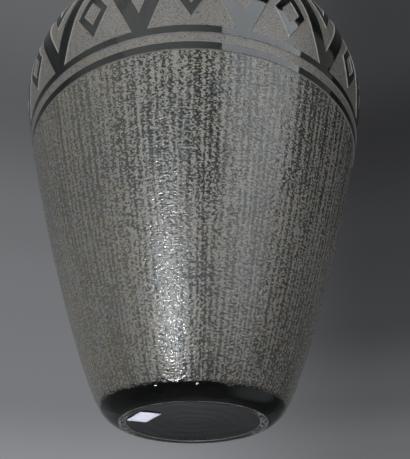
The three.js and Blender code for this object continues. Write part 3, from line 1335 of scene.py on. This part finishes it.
@dataclass
class Studio:
    """The pale floor, the plain backdrop and the soft lamps.

    The backdrop has a grey for each height of a direction, one ramp for the left and one for the right. The
    room in front of the vase is a paler glow, and so is a small place low on the right. A range is where a
    smooth step starts and where it ends, as a part of the direction's length.
    """

    floor_colour: Colour = (0.62, 0.625, 0.635)
    floor_mottle: float = 0.96
    floor_mottle_scale: float = 3.0
    floor_roughness: float = 0.8
    floor_size: float = 24.0
    left_backdrop: tuple[tuple[float, float], ...] = (
        (-1.0, 0.06), (-0.45, 0.12), (-0.2, 0.16), (0.2, 0.265), (0.3, 0.19), (0.45, 0.175), (0.53, 0.155),
        (0.66, 0.104), (0.78, 0.13), (1.0, 0.15),
    )
    right_backdrop: tuple[tuple[float, float], ...] = (
        (-1.0, 0.04), (-0.45, 0.05), (-0.2, 0.07), (0.15, 0.19), (0.23, 0.135), (0.3, 0.09), (0.4, 0.05),
        (0.5, 0.043), (0.63, 0.028), (0.72, 0.043), (1.0, 0.06),
    )
    backdrop_tint: Colour = (0.97, 0.99, 1.04)
    backdrop_turn: tuple[float, float] = (-0.12, 0.25)
    room: Colour = (0.73, 0.762, 0.748)
    room_front: tuple[float, float] = (0.0, -0.5)
    room_up: tuple[float, float] = (-0.45, -0.1)
    room_left: tuple[float, float] = (0.5, -0.15)
    side_glow: Colour = (0.34, 0.36, 0.37)
    side_glow_towards: tuple[float, float, float] = (0.754, 0.133, -0.643)
    side_glow_range: tuple[float, float] = (0.86, 0.99)
    lamps: tuple[SoftLamp, ...] = (
        SoftLamp("low_left_lamp", -59, -56, 1.2, (0.027, 0.017), 215.0),
        SoftLamp("low_right_lamp", 7, -67, 1.2, (0.027, 0.017), 215.0),
        SoftLamp("glint_lamp", -20, -24, 1.3, (0.07, 0.5), 80.0, (0.94, 0.97, 1.0), aim=0.08, diffuse=False),
        SoftLamp("haze_lamp", -17, -10, 1.5, (0.95, 0.75), 2.9, (0.85, 0.92, 1.0), aim=0.08, diffuse=False),
        SoftLamp("base_lamp", 0, -89, 0.12, (0.04, 0.04), 16.0, (0.93, 0.94, 1.0), aim=0.0, mirrored=False),
        SoftLamp("right_lamp", 77, 18, 1.5, (0.75, 0.95), 0.2, (1.0, 0.98, 0.93), diffuse=False),
        SoftLamp("window_lamp", 40.5, 18, 1.5, (1.22, 0.95), 2.65, (0.93, 0.98, 1.02), diffuse=False),
        SoftLamp("window_sill_lamp", 41, -14, 1.5, (1.25, 0.72), 1.4, (0.96, 0.98, 1.0), diffuse=False),
        SoftLamp("left_lamp", -42, 38, 1.6, (0.9, 0.9), 2.4, (0.95, 0.98, 1.0), mirrored=False),
        SoftLamp("front_lamp", -10, 16, 1.6, (0.9, 0.9), 1.65, (1.0, 0.98, 0.95), mirrored=False),
        SoftLamp("top_lamp", -20, 80, 1.9, (1.8, 1.8), 0.55),
        SoftLamp("back_lamp", 175, 48, 1.7, (1.2, 1.0), 1.6, mirrored=False),
    )

    def build(self) -> None:
        """Builds the floor, the backdrop and the lamps."""
        bm = bmesh.new()
        bmesh.ops.create_grid(bm, x_segments=1, y_segments=1, size=self.floor_size / 2)
        mesh = bpy.data.meshes.new("floor")
        bm.to_mesh(mesh)
        bm.free()
        mesh.materials.append(self._floor_material())
        floor = bpy.data.objects.new("floor", mesh)
        bpy.context.scene.collection.objects.link(floor)
        floor.visible_shadow = False
        floor.visible_glossy = False
        floor.visible_transmission = False
        self._backdrop()
        for lamp in self.lamps:
            lamp.build()

    def _floor_material(self) -> bpy.types.Material:
        """Builds the floor's finish, which shows only from above.

        Returns:
            The material.
        """
        material, bench, shader, place = new_material("pale_floor")
        dull = tuple(c * self.floor_mottle for c in self.floor_colour)
        mottle = bench.noise(place, self.floor_mottle_scale)
        bench.feed(shader.inputs["Base Color"], bench.mix(mottle, self.floor_colour, dull))
        shader.inputs["Roughness"].default_value = self.floor_roughness
        clear = bench.add("ShaderNodeBsdfTransparent")
        behind = bench.add("ShaderNodeNewGeometry").outputs["Backfacing"]
        both = bench.add("ShaderNodeMixShader", {0: behind, 1: shader.outputs[0], 2: clear.outputs[0]})
        output = next(n for n in bench.tree.nodes if n.bl_idname == "ShaderNodeOutputMaterial")
        bench.feed(output.inputs["Surface"], both.outputs[0])
        return material

    def _ramp(self, bench: Bench, share: object, stops: tuple[tuple[float, float], ...]) -> Socket:
        """Adds a ramp of the backdrop's greys.

        Args:
            bench: The world's bench.
            share: The height of the direction, from 0 straight down to 1 straight up.
            stops: Each stop's height, from -1 to 1, and its grey.

        Returns:
            The ramp's colour.
        """
        ramp = bench.add("ShaderNodeValToRGB", {0: share})
        ramp.color_ramp.interpolation = "EASE"
        for height, _ in stops[1:-1]:
            ramp.color_ramp.elements.new((height + 1) / 2)
        for element, (_, grey) in zip(ramp.color_ramp.elements, stops):
            element.color = (*(grey * c for c in self.backdrop_tint), 1.0)
        return ramp.outputs[0]

    def _backdrop(self) -> None:
        """Builds the plain backdrop, a grey that is palest behind the foot and darker to the right."""
        world = bpy.data.worlds.new("backdrop")
        world.use_nodes = True
        world.node_tree.nodes.clear()
        bench = Bench(world.node_tree)
        direction = bench.add("ShaderNodeTexCoord").outputs["Generated"]
        across, away, up = bench.add("ShaderNodeSeparateXYZ", {0: direction}).outputs
        heights = {"Value": up, "From Min": -1.0, "From Max": 1.0}
        share = bench.add("ShaderNodeMapRange", heights).outputs["Result"]
        left, right = (self._ramp(bench, share, stops) for stops in (self.left_backdrop, self.right_backdrop))
        grey = bench.mix(bench.step(across, *self.backdrop_turn), left, right)
        facing = bench.maths("MULTIPLY", bench.step(away, *self.room_front), bench.step(up, *self.room_up))
        facing = bench.maths("MULTIPLY", facing, bench.step(across, *self.room_left))
        grey = bench.mix(facing, grey, self.room)
        towards = bench.vector("DOT_PRODUCT", direction, self.side_glow_towards, "Value")
        grey = bench.mix(bench.step(towards, *self.side_glow_range), grey, self.side_glow)
        glow = bench.add("ShaderNodeBackground", {"Color": grey, "Strength": 1.0})
        output = bench.add("ShaderNodeOutputWorld")
        bench.feed(output.inputs["Surface"], glow.outputs[0])
        bpy.context.scene.world = world


@dataclass(frozen=True)
class PhotoCamera:
    """The photograph's camera, which looks up from below the foot. Its place is in millimetres."""

    place: tuple[float, float, float] = (8.2, -413.1, -115.8)
    pitch: float = math.radians(32.35)
    roll: float = -0.0062
    focal_pixels: float = 650.0
    long_side_pixels: float = 459.0
    sensor: float = 36.0
    clip: tuple[float, float] = (0.01, 50.0)

    def build(self) -> None:
        """Builds the camera and makes it the scene's."""
        data = bpy.data.cameras.new("photo_camera")
        data.sensor_width = self.sensor
        data.lens = self.focal_pixels / self.long_side_pixels * self.sensor
        data.clip_start, data.clip_end = self.clip
        camera = bpy.data.objects.new("photo_camera", data)
        turn = Matrix.Rotation(math.pi / 2 + self.pitch, 4, "X") @ Matrix.Rotation(self.roll, 4, "Z")
        camera.matrix_world = Matrix.Translation(Vector(self.place) * MM) @ turn
        bpy.context.scene.collection.objects.link(camera)
        bpy.context.scene.camera = camera


def glass_finishes() -> dict[Finish, bpy.types.Material]:
    """Builds every finish of the glass.

    Returns:
        The material of each finish.
    """
    etching, handling = AcidPattern().build(), HandlingMarks().build()
    return {
        Finish.POLISHED: PolishedGlass("polished_glass").build(handling),
        Finish.LINING: PolishedGlass("lining_glass", roughness=0.06).build(handling),
        Finish.HOLLOW: PolishedGlass("hollow_glass", roughness=0.08, ripples=0.05).build(handling),
        # The ground ring's pale frosted sides are a painted highlight where light catches its ends.
        Finish.GROUND: EtchedGlass(
            "ground_glass", frost=(0.38, 0.38, 0.39), gathering=0.0, amount=0.55, grain=420.0, softness=0.2,
            see_through=0.4, painted_light_sides=True,
        ).build(etching),
        Finish.STREAKED: EtchedGlass("streaked_glass", foot=0.72, border=0.0084, calm=0.5).build(etching),
        Finish.FROSTED: EtchedGlass(
            "frosted_glass", frost=(0.207, 0.191, 0.173), gathering=0.12, amount=0.3, grain=900.0,
            softness=0.2, sparkle=0.42,
        ).build(etching),
        # Paler frost on the bevels and the ring's edges: the bevels catch real light, and the paler colour
        # adds a painted highlight line.
        Finish.EDGE: EtchedGlass(
            "edge_glass_painted_highlight", frost=(0.27, 0.26, 0.245), gathering=0.1, amount=0.2, grain=900.0, softness=0.2,
        ).build(etching),
    }


def main() -> None:
    """Builds the camera, the studio and each piece, and logs the pieces."""
    logging.basicConfig(level=logging.INFO, format="%(name)s: %(message)s")
    scene = bpy.context.scene
    scene.view_settings.view_transform = "Standard"
    PhotoCamera().build()
    Studio().build()
    pieces = [VaseGlass().build(glass_finishes()), PaperLabel().build(Paper().build())]
    for piece in pieces:
        LOG.info("%s: %d vertices, %d faces", piece.name, len(piece.data.vertices), len(piece.data.polygons))


if __name__ == "__main__":
    main()
